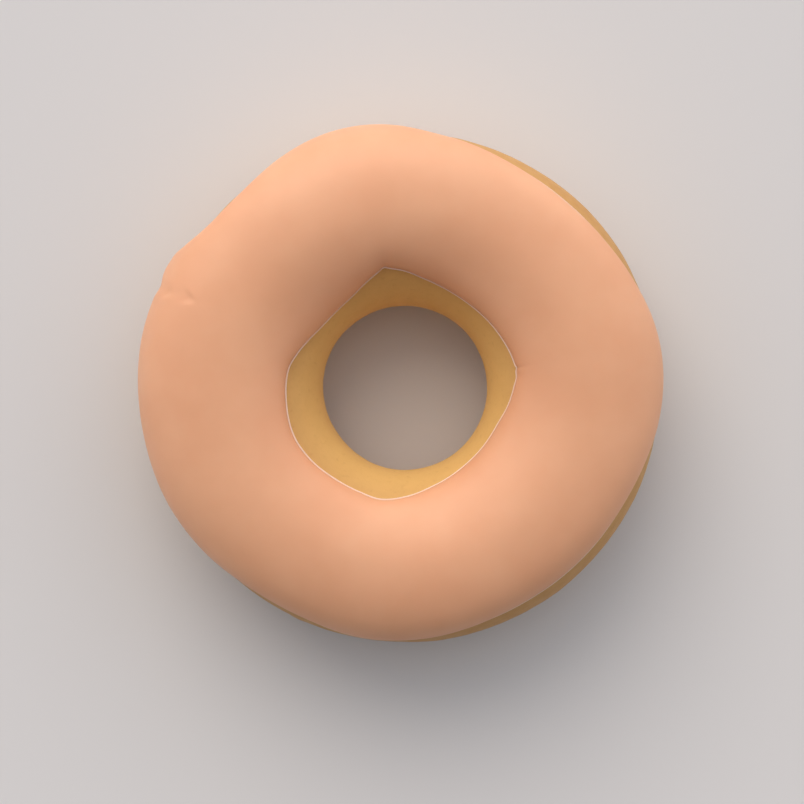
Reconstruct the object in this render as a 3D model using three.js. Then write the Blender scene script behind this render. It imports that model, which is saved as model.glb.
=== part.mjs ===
// Ring doughnut: one fried dough ring with a coat of icing on its upper side.
// Millimetres, +Z up, resting on the plane z = 0.
//
// Two angles place every point. The ring angle turns about the hole's axis, from +X towards +Y. The section
// angle turns about the middle of the dough's cross-section: 0 degrees points away from the hole, 90 degrees
// is the crown and 180 degrees points into the hole.

import * as THREE from 'three';
import { LoftGeometry } from 'three/addons/geometries/LoftGeometry.js';

// Dough ring
const DOUGH_DIAMETER = 90;
const HOLE_DIAMETER = 29;
const CROWN_HEIGHT = 29.2; // top of the dough above the table
const BELT_HEIGHT = 13.8; // height of the widest part of the dough
const UNDERSIDE_DEPTH = 14.4; // depth of the lower half below the belt, before the table flattens it
const CROWN_LEAN = 1.4; // from the middle of the ring's width out to the crown
const FLANK_FULLNESS = 0.09; // how much fuller the upper outer flank is than an ellipse

// Icing coat
const COAT_GAP = 0.3; // between the coat and the dough
const COAT_THICKNESS = 1.5; // on the crown and in the hole
const COAT_SWELL = 1.0; // added where the icing ran down the outside

// Mesh fineness
const DOUGH_RING_STEPS = 72;
const DOUGH_SECTION_STEPS = 32;
const COAT_RING_STEPS = 144;
const COAT_FACE_STEPS = 8;
const LIP_STEPS = 5;

const ringRadius = ( DOUGH_DIAMETER + HOLE_DIAMETER ) / 4;
const halfWidth = ( DOUGH_DIAMETER - HOLE_DIAMETER ) / 4;
const crownDepth = CROWN_HEIGHT - BELT_HEIGHT;
const sectionCentre = new THREE.Vector2( ringRadius, BELT_HEIGHT );

// Where the icing stopped running, as [ ring angle, section angle ] in degrees. The coat reached furthest
// down the outside in two wide runs, at 104 and 172 degrees, with a small pinch beside the second.
const OUTER_EDGE = [
	[ 0, 22 ], [ 8, 21 ], [ 16, 24 ], [ 26, 31 ], [ 38, 37 ], [ 50, 39.5 ], [ 64, 37.5 ], [ 76, 31 ],
	[ 84, 25.5 ], [ 96, 10 ], [ 102, 4 ], [ 108, 4.5 ], [ 118, 17 ], [ 127, 27.5 ], [ 134, 30.5 ],
	[ 140, 29 ], [ 144, 24 ], [ 148, 14 ], [ 150, 6 ], [ 152, 3 ], [ 154, 1 ], [ 157.5, 9.5 ],
	[ 161, 4 ], [ 172, 0.5 ], [ 186, 3.5 ], [ 202, 10.5 ], [ 218, 20.5 ], [ 232, 30 ], [ 246, 32 ],
	[ 261, 29.5 ], [ 276, 33.5 ], [ 292, 38.5 ], [ 312, 40 ], [ 330, 38 ], [ 343, 33 ], [ 352, 26 ]
];
const INNER_EDGE = [
	[ 0, 138 ], [ 5, 135.6 ], [ 8.5, 135.2 ], [ 10, 134.4 ], [ 11.5, 135.2 ], [ 18, 136.4 ],
	[ 30, 138.8 ], [ 50, 141.5 ], [ 66, 140.7 ], [ 80, 137.2 ], [ 90, 132.5 ], [ 97, 129.9 ],
	[ 100, 128.6 ], [ 103, 131 ], [ 112, 137 ], [ 120, 141.5 ], [ 132, 144.2 ], [ 144, 143.7 ],
	[ 154, 140 ], [ 163, 135.3 ], [ 171, 131.7 ], [ 186, 130.3 ], [ 204, 129.2 ], [ 216, 130.8 ],
	[ 232, 133.7 ], [ 246, 134.6 ], [ 258, 134 ], [ 272, 138.5 ], [ 286, 143.7 ], [ 302, 147 ],
	[ 320, 148 ], [ 338, 146.3 ], [ 352, 141 ]
];

const toRadians = THREE.MathUtils.degToRad;

// A smooth closed curve through an edge's points: cubic pieces that share their slopes where they meet.
function edgeAngle( edge, ringAngle ) {

	const count = edge.length;
	const at = ( i ) => {

		const [ turn, value ] = edge[ ( ( i % count ) + count ) % count ];
		return [ turn + 360 * Math.floor( i / count ), value ];

	};
	const slope = ( i ) => ( at( i + 1 )[ 1 ] - at( i - 1 )[ 1 ] ) / ( at( i + 1 )[ 0 ] - at( i - 1 )[ 0 ] );

	let i = -1;
	while ( at( i + 1 )[ 0 ] <= ringAngle ) i ++;

	const [ startTurn, startValue ] = at( i );
	const [ endTurn, endValue ] = at( i + 1 );
	const span = endTurn - startTurn;
	const t = ( ringAngle - startTurn ) / span;
	const rise = t * t * ( 3 - 2 * t );

	return startValue + ( endValue - startValue ) * rise
		+ slope( i ) * span * t * ( 1 - t ) * ( 1 - t )
		- slope( i + 1 ) * span * t * t * ( 1 - t );

}

// A point of the dough's outline, with the direction that its surface faces. Below the belt it is half an
// ellipse. Above the belt the crown leans away from the hole, and the outer flank is a little fuller.
function doughSection( sectionAngle ) {

	const angle = toRadians( sectionAngle );
	const out = Math.cos( angle );
	const up = Math.sin( angle );
	const depth = up >= 0 ? crownDepth : UNDERSIDE_DEPTH;
	const lean = up >= 0 ? CROWN_LEAN : 0;
	const fullness = up >= 0 && out > 0 ? FLANK_FULLNESS : 0;

	const point = new THREE.Vector2(
		halfWidth * out * ( 1 + fullness * up * up ) + lean * up * up,
		depth * up * ( 1 + fullness * out * out )
	);
	const normal = new THREE.Vector2(
		depth * out * ( 1 + fullness * ( out * out - 2 * up * up ) ),
		halfWidth * up * ( 1 + fullness * ( up * up - 2 * out * out ) ) - 2 * lean * up * out
	);

	return { point: point.add( sectionCentre ), normal: normal.normalize() };

}

function coatThickness( sectionAngle ) {

	const outward = Math.max( 0, Math.cos( toRadians( sectionAngle ) ) );
	return COAT_THICKNESS + COAT_SWELL * outward * outward;

}

// The dough: its section turned about the axis, flat where it rests.
function makeDough() {

	const flatStart = THREE.MathUtils.radToDeg( Math.asin( BELT_HEIGHT / UNDERSIDE_DEPTH ) );
	const profile = [];

	for ( let i = 0; i <= DOUGH_SECTION_STEPS; i ++ ) {

		const angle = THREE.MathUtils.lerp( -flatStart, 180 + flatStart, i / DOUGH_SECTION_STEPS );
		profile.push( doughSection( angle ).point );

	}

	profile.push( profile[ 0 ].clone() );

	return new THREE.LatheGeometry( profile, DOUGH_RING_STEPS ).rotateX( Math.PI / 2 );

}

// One closed section of the coat: its top face, the outer lip, its underside and the lip in the hole. The
// lips are half round, and each starts back from the edge by its own radius.
function coatSection( ringAngle ) {

	const setBack = ( angle ) => THREE.MathUtils.radToDeg( coatThickness( angle ) / 2 / halfWidth );
	const outerEdge = edgeAngle( OUTER_EDGE, ringAngle );
	const innerEdge = edgeAngle( INNER_EDGE, ringAngle );
	const outer = outerEdge + setBack( outerEdge );
	const inner = innerEdge - setBack( innerEdge );
	const section = [];

	const addFace = ( from, to, offset ) => {

		for ( let i = 0; i <= COAT_FACE_STEPS; i ++ ) {

			const angle = THREE.MathUtils.lerp( from, to, i / COAT_FACE_STEPS );
			const { point, normal } = doughSection( angle );
			section.push( point.addScaledVector( normal, offset( angle ) ) );

		}

	};

	const addLip = ( angle, startTurn ) => {

		const { point, normal } = doughSection( angle );
		const radius = coatThickness( angle ) / 2;
		const centre = point.addScaledVector( normal, COAT_GAP + radius );

		for ( let i = 1; i < LIP_STEPS; i ++ ) {

			const turn = startTurn - Math.PI * i / LIP_STEPS;
			const spoke = normal.clone().rotateAround( new THREE.Vector2(), turn );
			section.push( centre.clone().addScaledVector( spoke, radius ) );

		}

	};

	addFace( inner, outer, ( angle ) => COAT_GAP + coatThickness( angle ) );
	addLip( outer, 0 );
	addFace( outer, inner, () => COAT_GAP );
	addLip( inner, Math.PI );

	const turn = toRadians( ringAngle );
	return section.map( ( p ) => new THREE.Vector3( p.x * Math.cos( turn ), p.x * Math.sin( turn ), p.y ) );

}

// The coat: a loft through its sections, once round the ring and back to the first.
function makeCoat() {

	const sections = [];

	for ( let i = 0; i <= COAT_RING_STEPS; i ++ ) {

		sections.push( coatSection( 360 * ( i % COAT_RING_STEPS ) / COAT_RING_STEPS ) );

	}

	return new LoftGeometry( sections );

}

const dough = new THREE.Mesh(
	makeDough(),
	new THREE.MeshStandardMaterial( { color: 0xd39a55, roughness: 0.7, metalness: 0 } )
);
dough.name = 'dough_ring';

const coat = new THREE.Mesh(
	makeCoat(),
	new THREE.MeshStandardMaterial( { color: 0xe3a581, roughness: 0.45, metalness: 0 } )
);
coat.name = 'icing_coat';

const doughnut = new THREE.Group();
doughnut.add( dough, coat );

// The coat bulges more on one side, so the ring is set over until the origin is below the whole's middle.
const middle = new THREE.Box3().setFromObject( doughnut ).getCenter( new THREE.Vector3() );
doughnut.position.set( -middle.x, -middle.y, 0 );

export default doughnut;
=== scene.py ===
import math

import bpy
import numpy as np
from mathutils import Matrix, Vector, noise


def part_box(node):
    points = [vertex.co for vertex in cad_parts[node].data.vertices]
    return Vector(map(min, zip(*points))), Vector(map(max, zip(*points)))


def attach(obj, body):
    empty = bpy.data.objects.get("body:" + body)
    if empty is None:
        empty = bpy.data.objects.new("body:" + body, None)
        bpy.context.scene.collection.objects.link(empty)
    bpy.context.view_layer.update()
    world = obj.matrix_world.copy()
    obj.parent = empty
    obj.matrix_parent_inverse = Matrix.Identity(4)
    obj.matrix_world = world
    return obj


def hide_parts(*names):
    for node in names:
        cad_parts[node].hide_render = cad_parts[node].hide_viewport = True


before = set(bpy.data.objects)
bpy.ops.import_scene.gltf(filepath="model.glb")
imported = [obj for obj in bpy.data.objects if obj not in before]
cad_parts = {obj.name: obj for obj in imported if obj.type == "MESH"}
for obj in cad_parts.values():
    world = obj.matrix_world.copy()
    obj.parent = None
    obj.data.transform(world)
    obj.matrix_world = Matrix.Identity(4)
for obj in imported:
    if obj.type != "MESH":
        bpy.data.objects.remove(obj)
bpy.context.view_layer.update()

# Dough ring. One ring of yeast dough, fried on one side and then the other, and left to settle, so its
# underside is flat. The skin is thin, dry and golden, with shallow lumps and a few blisters from the gas
# below. Nothing holds it: it rests on the table.

# Sizes are in millimetres. A ring angle turns about the hole's axis, from +X towards +Y. A section angle
# turns about the middle of the dough's section: 0 faces out, 90 is the crown and 180 faces into the hole.
MM = 0.001
dough_low, dough_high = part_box("dough_ring")
axis_x = (dough_low.x + dough_high.x) / 2
axis_y = (dough_low.y + dough_high.y) / 2

dough_width = 90.0
hole_width = 29.0
crown_height = 29.2
belt_height = 13.8
underside_depth = 14.4
crown_lean = 1.4
crown_fullness = 0.09
ring_radius = (dough_width + hole_width) / 4
half_width = (dough_width - hole_width) / 4
flat_start = math.degrees(math.asin(belt_height / underside_depth))

# Each layer of relief is (size of a lump, height).
dough_lumps = ((17.0, 0.20), (6.0, 0.06))
dough_wrinkles = ((2.2, 0.030), (1.1, 0.015))
blister_spacing = 6.5
blister_height = 0.16
blister_reach = 0.34  # as a share of the spacing
blister_scatter, blister_cutoff = 9.0, 0.3  # these leave about one spot in three

dough_rows = 520
skin_columns = 168
base_columns = 18

# The skin's colours. The browning goes by a height to which the patches add up to browning_wander, so that
# the pale belt and the brown underside have uneven edges. The paler hole goes by the distance from its axis:
# it is partly the hole's own paler crust and partly painted light that lifts the shade deep in the hole.
patch_size, mottle_size, freckle_size, crumb_size = 15.0, 2.5, 0.8, 1.1
crumb_depth = 0.12
browning_wander = 5.0
belt_middle = belt_height - 0.3
belt_core, belt_reach = 1.0, 4.5
brown_below, golden_above = 3.0, 11.0
pale_within, golden_beyond = 15.0, 22.0


def dough_section(section_angle):
    """(distance from the axis, height) of the dough's skin at section angles in degrees, and the way it
    faces. Below the belt it is half an ellipse. Above the belt the crown leans away from the hole, and the
    outer flank is a little fuller than an ellipse."""
    turn = np.radians(section_angle)
    out, up = np.cos(turn), np.sin(turn)
    upper = up >= 0
    depth = np.where(upper, crown_height - belt_height, underside_depth)
    lean = upper * crown_lean
    fullness = upper * (out > 0) * crown_fullness
    across = ring_radius + half_width * out * (1 + fullness * up ** 2) + lean * up ** 2
    height = belt_height + depth * up * (1 + fullness * out ** 2)
    facing_out = depth * out * (1 + fullness * (out ** 2 - 2 * up ** 2))
    facing_up = half_width * up * (1 + fullness * (up ** 2 - 2 * out ** 2)) - 2 * lean * up * out
    facing = np.stack([facing_out, facing_up], -1)
    facing /= np.linalg.norm(facing, axis=-1, keepdims=True)
    return np.stack([across, height], -1), facing


def round_the_ring(section, ring_angle):
    """Section pairs (out from the axis, up) turned to their ring angles, as x, y and z."""
    turn = np.radians(ring_angle)
    out, up = section[..., 0], section[..., 1]
    return np.stack([out * np.cos(turn), out * np.sin(turn), up], -1)


def relief(points, layers):
    """Height of a lumpy surface at each point."""
    flat = points.reshape(-1, 3)
    height = np.zeros(len(flat))
    for size, rise in layers:
        height += rise * np.array([noise.noise(Vector(p)) for p in flat / size])
    return height.reshape(points.shape[:-1])


def blisters(points):
    """Height of low round blisters at each point."""
    flat = points.reshape(-1, 3) / blister_spacing
    height = np.zeros(len(flat))
    for i, p in enumerate(flat):
        distances, centres = noise.voronoi(Vector(p))
        if distances[0] < blister_reach and noise.cell(centres[0] * blister_scatter) > blister_cutoff:
            height[i] = blister_height * (1 - (distances[0] / blister_reach) ** 2) ** 2
    return height.reshape(points.shape[:-1])


def skin_mesh(name, points):
    """A closed skin through a grid of points, whose rows go round the ring and columns round the section."""
    rows, columns = points.shape[:2]
    row, column = np.meshgrid(np.arange(rows), np.arange(columns), indexing="ij")
    next_row, next_column = (row + 1) % rows, (column + 1) % columns
    corners = np.stack([row * columns + column, next_row * columns + column,
                        next_row * columns + next_column, row * columns + next_column], -1)
    mesh = bpy.data.meshes.new(name)
    mesh.from_pydata((points * MM).reshape(-1, 3).tolist(), [], corners.reshape(-1, 4).tolist())
    across = np.stack([row, row + 1, row + 1, row], -1) / rows
    along = np.stack([column, column, column + 1, column + 1], -1) / columns
    unwrapped = mesh.uv_layers.new(name="OFBake")
    unwrapped.data.foreach_set("uv", np.stack([across, along], -1).ravel())
    mesh.shade_smooth()
    piece = bpy.data.objects.new(name, mesh)
    piece.location = (axis_x, axis_y, 0)
    bpy.context.scene.collection.objects.link(piece)
    return piece


def linear(hex_colour):
    """An sRGB colour such as "#C58A48" as linear red, green, blue and 1."""
    values = [int(hex_colour[i:i + 2], 16) / 255 for i in (1, 3, 5)]
    return [v / 12.92 if v <= 0.04045 else ((v + 0.055) / 1.055) ** 2.4 for v in values] + [1.0]


def add(tree, kind, links, **settings):
    """Adds a node. links maps its inputs to values or to other nodes' outputs."""
    made = tree.nodes.new("ShaderNode" + kind)
    for name, value in settings.items():
        setattr(made, name, value)
    for name, value in links.items():
        if isinstance(value, bpy.types.NodeSocket):
            tree.links.new(value, made.inputs[name])
        else:
            made.inputs[name].default_value = value
    return made


def new_material(name):
    """A material without nodes, and its node tree."""
    material = bpy.data.materials.new(name)
    material.use_nodes = True
    material.node_tree.nodes.clear()
    return material, material.node_tree


def fried_dough_skin():
    """Fried dough: a thin dry crust with a trace of oil, so it is nearly matt with a faint warm sheen. It is
    golden brown where the fat covered it, paler along the belt that floated, and browner underneath, with
    soft patches and fine freckles. It is also paler deep in the hole, partly its own paler crust and partly
    painted light that lifts the hole's shade."""
    material, tree = new_material("fried_dough_skin")
    place = add(tree, "TexCoord", {}).outputs["Object"]
    patches = add(tree, "TexNoise", {"Vector": place, "Scale": 1 / (patch_size * MM), "Detail": 3.0})
    mottle = add(tree, "TexNoise", {"Vector": place, "Scale": 1 / (mottle_size * MM), "Detail": 5.0,
                                    "Roughness": 0.6})
    freckles = add(tree, "TexNoise", {"Vector": place, "Scale": 1 / (freckle_size * MM), "Detail": 2.0})

    patch_share = add(tree, "MapRange", {"Value": patches.outputs["Fac"], "From Min": 0.3, "From Max": 0.7})
    golden = add(tree, "MixRGB", {"Fac": patch_share.outputs["Result"], "Color1": linear("#CE9C5C"),
                                  "Color2": linear("#CA9553")})
    mottle_share = add(tree, "MapRange", {"Value": mottle.outputs["Fac"], "From Min": 0.4, "From Max": 0.75,
                                          "To Max": 0.35})
    toasted = add(tree, "MixRGB", {"Fac": mottle_share.outputs["Result"], "Color1": golden.outputs["Color"],
                                   "Color2": linear("#B68449")})

    height = add(tree, "SeparateXYZ", {"Vector": place}).outputs["Z"]
    wander = add(tree, "Math", {0: patches.outputs["Fac"], 1: browning_wander * MM, 2: height},
                 operation="MULTIPLY_ADD")
    from_belt = add(tree, "Math", {0: wander.outputs["Value"], 1: belt_middle * MM}, operation="SUBTRACT")
    belt_distance = add(tree, "Math", {0: from_belt.outputs["Value"]}, operation="ABSOLUTE")
    belt_share = add(tree, "MapRange", {"Value": belt_distance.outputs["Value"], "From Min": belt_reach * MM,
                                        "From Max": belt_core * MM, "To Max": 0.5},
                     interpolation_type="SMOOTHSTEP")
    flat_place = add(tree, "VectorMath", {0: place, 1: (1.0, 1.0, 0.0)}, operation="MULTIPLY")
    from_axis = add(tree, "VectorMath", {0: flat_place.outputs["Vector"]}, operation="LENGTH")
    # Paler towards the narrowest part of the hole: partly the crust's own colour, partly painted light that
    # lifts the hole's shade.
    hole_pale_and_painted_light_share = add(tree, "MapRange", {"Value": from_axis.outputs["Value"], "From Min": pale_within * MM,
                                        "From Max": golden_beyond * MM, "To Min": 0.62, "To Max": 0.0})
    # The pale belt is the dough's own colour; the hole's share adds painted light.
    pale_belt_and_painted_light_share = add(tree, "Math", {0: belt_share.outputs["Result"], 1: hole_pale_and_painted_light_share.outputs["Result"]},
                     operation="MAXIMUM")
    paler = add(tree, "MixRGB", {"Fac": pale_belt_and_painted_light_share.outputs["Value"], "Color1": toasted.outputs["Color"],
                                 "Color2": linear("#FBD180")})
    under_share = add(tree, "MapRange", {"Value": wander.outputs["Value"], "From Min": golden_above * MM,
                                         "From Max": brown_below * MM, "To Max": 0.75},
                      interpolation_type="SMOOTHSTEP")
    browned = add(tree, "MixRGB", {"Fac": under_share.outputs["Result"], "Color1": paler.outputs["Color"],
                                   "Color2": linear("#AE6D2E")})
    freckle_share = add(tree, "MapRange", {"Value": freckles.outputs["Fac"], "From Min": 0.6,
                                           "From Max": 0.78, "To Max": 0.15})
    freckled = add(tree, "MixRGB", {"Fac": freckle_share.outputs["Result"],
                                    "Color1": browned.outputs["Color"], "Color2": linear("#A9692F")})

    roughness = add(tree, "MapRange", {"Value": mottle.outputs["Fac"], "From Min": 0.3, "From Max": 0.7,
                                       "To Min": 0.52, "To Max": 0.68})
    crumb = add(tree, "TexNoise", {"Vector": place, "Scale": 1 / (crumb_size * MM), "Detail": 4.0,
                                   "Roughness": 0.55})
    crumb_bump = add(tree, "Bump", {"Height": crumb.outputs["Fac"], "Strength": 0.35,
                                    "Distance": crumb_depth * MM})
    shader = add(tree, "BsdfPrincipled", {
        "Base Color": freckled.outputs["Color"], "Roughness": roughness.outputs["Result"],
        "Normal": crumb_bump.outputs["Normal"], "Specular IOR Level": 0.35})
    add(tree, "OutputMaterial", {"Surface": shader.outputs["BSDF"]})
    return material


ring_angles = np.arange(dough_rows)[:, None] * 360 / dough_rows
skin_angles = np.linspace(-flat_start, 180 + flat_start, skin_columns)[None, :]
skin, skin_facing = dough_section(skin_angles)
base_steps = np.linspace(0, 1, base_columns)[None, 1:-1, None]
base = skin[:, -1:] * (1 - base_steps) + skin[:, :1] * base_steps
base_facing = np.broadcast_to([0.0, -1.0], base.shape)
outline = np.concatenate([skin, base], 1)
outline_facing = np.concatenate([skin_facing, base_facing], 1)
dough_points = round_the_ring(np.repeat(outline, dough_rows, 0), ring_angles)
dough_facing = round_the_ring(np.repeat(outline_facing, dough_rows, 0), ring_angles)
dough_height = relief(dough_points, dough_lumps + dough_wrinkles)
dough_height += blisters(dough_points)
dough_points = dough_points + dough_facing * dough_height[..., None]
dough_points[..., 2] = np.maximum(dough_points[..., 2], 0)

dough = skin_mesh("fried_dough_ring", dough_points)
dough.data.materials.append(fried_dough_skin())
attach(dough, "root")
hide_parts("dough_ring")

# Icing. Apricot-pink sugar icing, poured over the crown while it was warm. It ran unevenly down the outside
# and a little way into the hole, stuck to the dough, and set with a rounded shoulder and a thin dry lip. The
# end of one run pinched as it dried, which left a crease with two dimples and a low fold beside it.

icing_thickness = 1.5
icing_swell = 1.0  # added where it ran down the outside
embed = -0.05  # height of its underside above the dough's skin
icing_waves = ((13.0, 0.05), (5.0, 0.012))

# From an edge inwards: the lip's foot and tip, its slope into the valley, and the shoulder.
inner_lip, outer_lip = 0.28, 0.42
inner_lip_height, outer_lip_height = 0.30, 0.40
foot_height = 0.06
tip_width, tip_drop = 0.02, 0.03
valley_height = 0.10
shoulder_width = 5.5

pinch_angle = 157.4
crease_depth, crease_width, crease_reach, crease_fade = 0.09, 1.0, 15.0, 0.6
fold_rise, fold_width, fold_offset = 0.05, 1.1, 1.7
dimple_depth, dimple_radius = 0.15, 0.90
dimples = ((158.4, 8.0), (157.6, 12.4))  # (ring angle, distance from the outer edge)

coat_rows = 620
body_columns = 94
lip_columns = 7
shoulder_columns = 15
under_columns = 17
angle_step = 0.05
pinch_crowding, pinch_spread = 4, 6  # rows stand this much closer, over this many degrees
traced_from, traced_to, traced_steps = -60, 240, 3001

cloud_size, grain_size = 11.0, 0.5
grain_depth = 0.04
pale_lip_reach = 0.6  # as a share of the lip's width
# The lip's paler colour is partly dried icing and partly a painted highlight along the edge; the inner lip
# gets less of it than the outer.
inner_lip_paleness = 0.8

# Where each edge of the icing lies, as (ring angle, section angle).
outer_edge = (
    (0, 22), (8, 21), (16, 24), (26, 31), (38, 37), (50, 39.5), (64, 37.5), (76, 31), (84, 25.5),
    (96, 10), (102, 4), (108, 4.5), (118, 17), (127, 27.5), (134, 30.5), (140, 29), (144, 24), (148, 14),
    (150, 6), (152, 3), (154, 1), (157.5, 9.5), (161, 4), (172, 0.5), (186, 3.5), (202, 10.5),
    (218, 20.5), (232, 30), (246, 32), (261, 29.5), (276, 33.5), (292, 38.5), (312, 40), (330, 38),
    (343, 33), (352, 26))
inner_edge = (
    (0, 138), (5, 135.6), (8.5, 135.2), (10, 134.4), (11.5, 135.2), (18, 136.4), (30, 138.8), (50, 141.5),
    (66, 140.7), (80, 137.2), (90, 132.5), (97, 129.9), (100, 128.6), (103, 131), (112, 137),
    (120, 141.5), (132, 144.2), (144, 143.7), (154, 140), (163, 135.3), (171, 131.7), (186, 130.3),
    (204, 129.2), (216, 130.8), (232, 133.7), (246, 134.6), (258, 134), (272, 138.5), (286, 143.7),
    (302, 147), (320, 148), (338, 146.3), (352, 141))


def edge_angle(edge, ring_angle):
    """Section angle of an edge of the icing, on a smooth closed curve through the edge's points."""
    turn, value = np.array(edge, float).T
    turn = np.concatenate([turn[-2:] - 360, turn, turn[:2] + 360])
    value = np.concatenate([value[-2:], value, value[:2]])
    slope = np.zeros(len(value))
    slope[1:-1] = (value[2:] - value[:-2]) / (turn[2:] - turn[:-2])
    start = np.searchsorted(turn, ring_angle, side="right") - 1
    span = turn[start + 1] - turn[start]
    t = (ring_angle - turn[start]) / span
    rise = t * t * (3 - 2 * t)
    return (value[start] + (value[start + 1] - value[start]) * rise
            + slope[start] * span * t * (1 - t) ** 2 - slope[start + 1] * span * t * t * (1 - t))


def edge_profile(lip_width, lip_height):
    """Steps in from an edge: distances along the skin, the level that the thickness is added to, and the
    share of it. The lip stands highest at its tip and slopes into a narrow valley, from which the shoulder
    climbs."""
    slope = np.linspace(0, 1, lip_columns)[1:]
    climb = np.linspace(0, math.pi / 2, shoulder_columns)[1:]
    lip_rise = lip_height + (valley_height - lip_height) * slope
    shoulder = lip_width + shoulder_width * (1 - np.cos(climb))
    distance = np.concatenate([[0, tip_width], lip_width * slope, shoulder])
    level = np.concatenate([[foot_height, lip_height - tip_drop], lip_rise, valley_height + 0 * climb])
    share = np.concatenate([np.zeros(len(slope) + 2), np.sin(climb)])
    return distance, level, share


def pinch_relief(ring_angle, section_angle, from_outer_edge):
    """The crease at the pinched run, the low fold along its lower side, and the two dimples in it."""
    from_axis = dough_section(section_angle)[0][..., 0]
    across = np.radians(ring_angle - pinch_angle) * from_axis
    fade = np.clip(1 - from_outer_edge / crease_reach, 0, 1) ** crease_fade
    crease = -crease_depth * np.exp(-(across / crease_width) ** 2) * fade
    fold = fold_rise * np.exp(-((across - fold_offset) / fold_width) ** 2) * fade
    height = crease + fold
    for dimple_angle, place in dimples:
        aside = np.radians(ring_angle - dimple_angle) * from_axis
        apart = aside ** 2 + (from_outer_edge - place) ** 2
        height = height - dimple_depth * np.exp(-apart / dimple_radius ** 2)
    return height


def sugar_icing():
    """Set sugar icing: smooth, dense and slightly translucent, with a satin face. The colour is a little
    uneven, in wide soft clouds, and the lip dried thin and is much paler, partly from the dried icing and
    partly as a painted highlight along the edge."""
    material, tree = new_material("sugar_icing")
    place = add(tree, "TexCoord", {}).outputs["Object"]
    clouds = add(tree, "TexNoise", {"Vector": place, "Scale": 1 / (cloud_size * MM), "Detail": 3.0})
    cloud_share = add(tree, "MapRange", {"Value": clouds.outputs["Fac"], "From Min": 0.35,
                                         "From Max": 0.65})
    body = add(tree, "MixRGB", {"Fac": cloud_share.outputs["Result"], "Color1": linear("#ECB087"),
                                "Color2": linear("#E8AA81")})
    # The pale lip: partly dried icing, partly a painted highlight along the edge.
    lip_paleness_and_highlight = add(tree, "Attribute", {}, attribute_name="dry_lip_and_painted_highlight")
    coloured = add(tree, "MixRGB", {"Fac": lip_paleness_and_highlight.outputs["Fac"], "Color1": body.outputs["Color"],
                                    "Color2": linear("#FBE4D0")})
    grain = add(tree, "TexNoise", {"Vector": place, "Scale": 1 / (grain_size * MM), "Detail": 3.0})
    grain_bump = add(tree, "Bump", {"Height": grain.outputs["Fac"], "Strength": 0.12,
                                    "Distance": grain_depth * MM})
    roughness = add(tree, "MapRange", {"Value": clouds.outputs["Fac"], "From Min": 0.3, "From Max": 0.7,
                                       "To Min": 0.42, "To Max": 0.5})
    shader = add(tree, "BsdfPrincipled", {
        "Base Color": coloured.outputs["Color"], "Roughness": roughness.outputs["Result"],
        "Normal": grain_bump.outputs["Normal"], "Specular IOR Level": 0.35,
        "Subsurface Weight": 0.15, "Subsurface Radius": (1.0, 0.55, 0.35), "Subsurface Scale": 1.2 * MM})
    add(tree, "OutputMaterial", {"Surface": shader.outputs["BSDF"]})
    return material


# Rows round the ring, closer together at the pinched run.
crowding = 1 + pinch_crowding * np.exp(-((np.arange(0, 360, angle_step) - pinch_angle) / pinch_spread) ** 2)
turned = np.concatenate([[0], np.cumsum(crowding)])
coat_angles = np.interp(np.arange(coat_rows) / coat_rows * turned[-1], turned,
                        np.arange(len(turned)) * angle_step)[:, None]

# Places along the dough's skin, as lengths, so that the lip is equally wide all round.
skin_line = np.linspace(traced_from, traced_to, traced_steps)
skin_steps = np.linalg.norm(np.diff(dough_section(skin_line)[0], axis=0), axis=-1)
skin_length = np.concatenate([[0], np.cumsum(skin_steps)])
inner_place = np.interp(edge_angle(inner_edge, coat_angles), skin_line, skin_length)
outer_place = np.interp(edge_angle(outer_edge, coat_angles), skin_line, skin_length)
coat_length = inner_place - outer_place

# Columns from the inner edge over the crown to the outer edge, and back along the underside.
inner_steps, inner_level, edge_share = edge_profile(inner_lip, inner_lip_height)
outer_steps, outer_level, edge_share = edge_profile(outer_lip, outer_lip_height)
body_steps = np.linspace(0, 1, body_columns)[None, 1:-1]
body_count = body_steps.shape[1]
body_start = inner_steps[-1]
body_end = coat_length - outer_steps[-1]
body_distance = body_start + (body_end - body_start) * body_steps
under_distance = coat_length * np.linspace(1, 0, under_columns)[None, :]
distance = np.concatenate([inner_steps[None, :] + 0 * coat_length, body_distance,
                           coat_length - outer_steps[None, ::-1], under_distance], 1)
coat_angle = np.interp(inner_place - distance, skin_length, skin_line)

full = icing_thickness + icing_swell * np.maximum(0, np.cos(np.radians(coat_angle))) ** 2
share = np.concatenate([edge_share, np.ones(body_count), edge_share[::-1], np.zeros(under_columns)])
level = np.concatenate([inner_level, np.full(body_count, valley_height), outer_level[::-1],
                        np.full(under_columns, embed)])
waves = relief(round_the_ring(dough_section(coat_angle)[0], coat_angles), icing_waves)
pinch = pinch_relief(coat_angles, coat_angle, coat_length - distance)
height = level + share * (full - valley_height + waves + pinch)

# The icing follows the dough's wide lumps, and it covers the small ones except at its thin edge.
coat_section, coat_facing = dough_section(coat_angle)
coat_base = round_the_ring(coat_section, coat_angles)
coat_normal = round_the_ring(coat_facing, coat_angles)
lumps = relief(coat_base, dough_lumps[:1]) + relief(coat_base, dough_lumps[1:]) * (1 - share)
coat_points = coat_base + coat_normal * (height + lumps)[..., None]

coat = skin_mesh("sugar_icing_coat", coat_points[:, ::-1])
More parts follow.
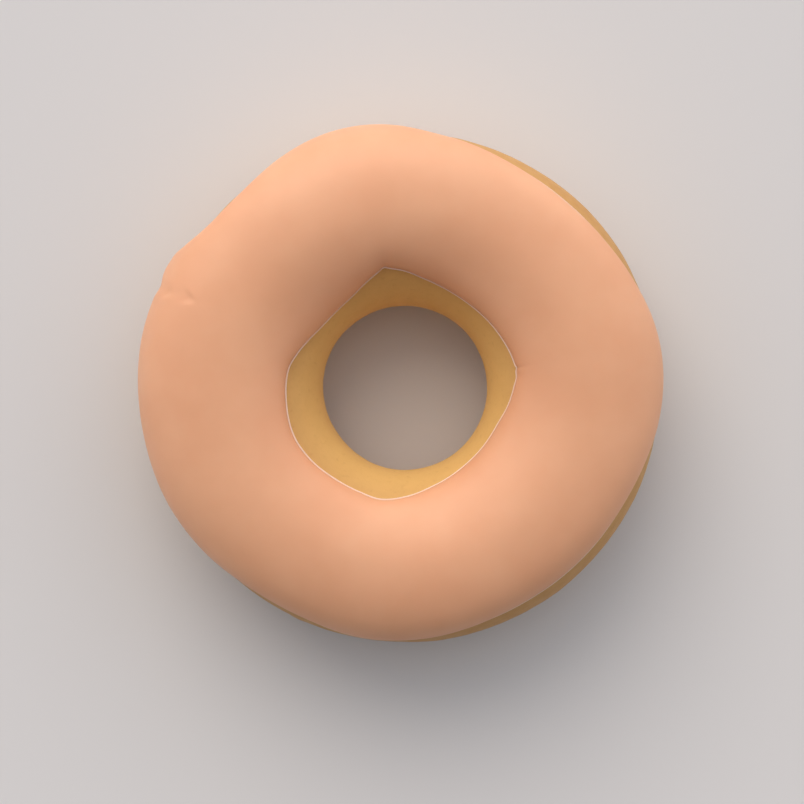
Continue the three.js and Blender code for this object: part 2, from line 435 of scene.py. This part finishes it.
# Paleness along both lips: partly dried icing, partly a painted highlight along the edge, weaker on the
# inner lip.
from_inner = np.clip(2 - distance / (pale_lip_reach * inner_lip), 0, 1)
from_outer = np.clip(2 - (coat_length - distance) / (pale_lip_reach * outer_lip), 0, 1)
dry_lip_and_painted_highlight = coat.data.attributes.new("dry_lip_and_painted_highlight", "FLOAT", "POINT")
dry_lip_and_painted_highlight.data.foreach_set("value", np.maximum(inner_lip_paleness * from_inner, from_outer)[:, ::-1].ravel())
coat.data.materials.append(sugar_icing())
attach(coat, "root")
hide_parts("icing_coat")

# Table and light. A plain pale table, one broad soft light from the far side that fades round to the near
# side, as a wide window or a wall of softboxes gives, and a weak warm key with a very soft edge, high on the
# far side. The shadow is only a soft pool.

table_reach = 3.0
bpy.ops.mesh.primitive_plane_add(size=2 * table_reach, location=(0, 0, 0))
table = bpy.context.object
table.name = "table"
table_finish, table_tree = new_material("matt_table")
table_shader = add(table_tree, "BsdfPrincipled", {"Base Color": linear("#DEDCD9"), "Roughness": 0.8})
add(table_tree, "OutputMaterial", {"Surface": table_shader.outputs["BSDF"]})
table.data.materials.append(table_finish)

window_side = Vector((0.0, 1.0, 0.0))
window_focus = 1.25
horizon_strength, overhead_strength = 2.42, 1.22
world = bpy.data.worlds.new("soft_studio")
bpy.context.scene.world = world
world.use_nodes = True
world.node_tree.nodes.clear()
sky = world.node_tree
direction = add(sky, "TexCoord", {}).outputs["Generated"]
towards = add(sky, "VectorMath", {0: direction, 1: window_side}, operation="DOT_PRODUCT")
raised = add(sky, "MapRange", {"Value": towards.outputs["Value"], "From Min": -1.0, "From Max": 1.0})
falloff = add(sky, "Math", {0: raised.outputs["Result"], 1: window_focus}, operation="POWER")
upward = add(sky, "SeparateXYZ", {"Vector": direction}).outputs["Z"]
overhead = add(sky, "MapRange", {"Value": upward, "From Min": 0.0, "From Max": 1.0,
                                 "To Min": horizon_strength, "To Max": overhead_strength})
brightness = add(sky, "Math", {0: falloff.outputs["Value"], 1: overhead.outputs["Result"]},
                 operation="MULTIPLY")
backdrop = add(sky, "Background", {"Color": linear("#F4F6FF"), "Strength": brightness.outputs["Value"]})
add(sky, "OutputWorld", {"Surface": backdrop.outputs["Background"]})

key_strength = 1.05
key_spread = 45
key_side = Vector((-0.25, 0.68, 0.69))
key_data = bpy.data.lights.new("soft_key", "SUN")
key_data.energy = key_strength
key_data.color = linear("#FFECD8")[:3]
key_data.angle = math.radians(key_spread)
key = bpy.data.objects.new("soft_key", key_data)
key.rotation_euler = key_side.to_track_quat("Z", "Y").to_euler()
bpy.context.scene.collection.objects.link(key)

# Camera: straight above the hole, with +Y up the frame and the ring a little above the frame's middle.

camera_data = bpy.data.cameras.new("camera")
camera = bpy.data.objects.new("camera", camera_data)
bpy.context.scene.collection.objects.link(camera)
camera_distance = 0.55
frame_width = 0.14245
camera_data.sensor_width = 36.0
camera_data.lens = camera_data.sensor_width * camera_distance / frame_width
camera_data.shift_x = -0.0036
camera_data.shift_y = -0.018
camera.location = (axis_x, axis_y, belt_height * MM + camera_distance)
bpy.context.scene.camera = camera
bpy.context.scene.view_settings.view_transform = "Standard"
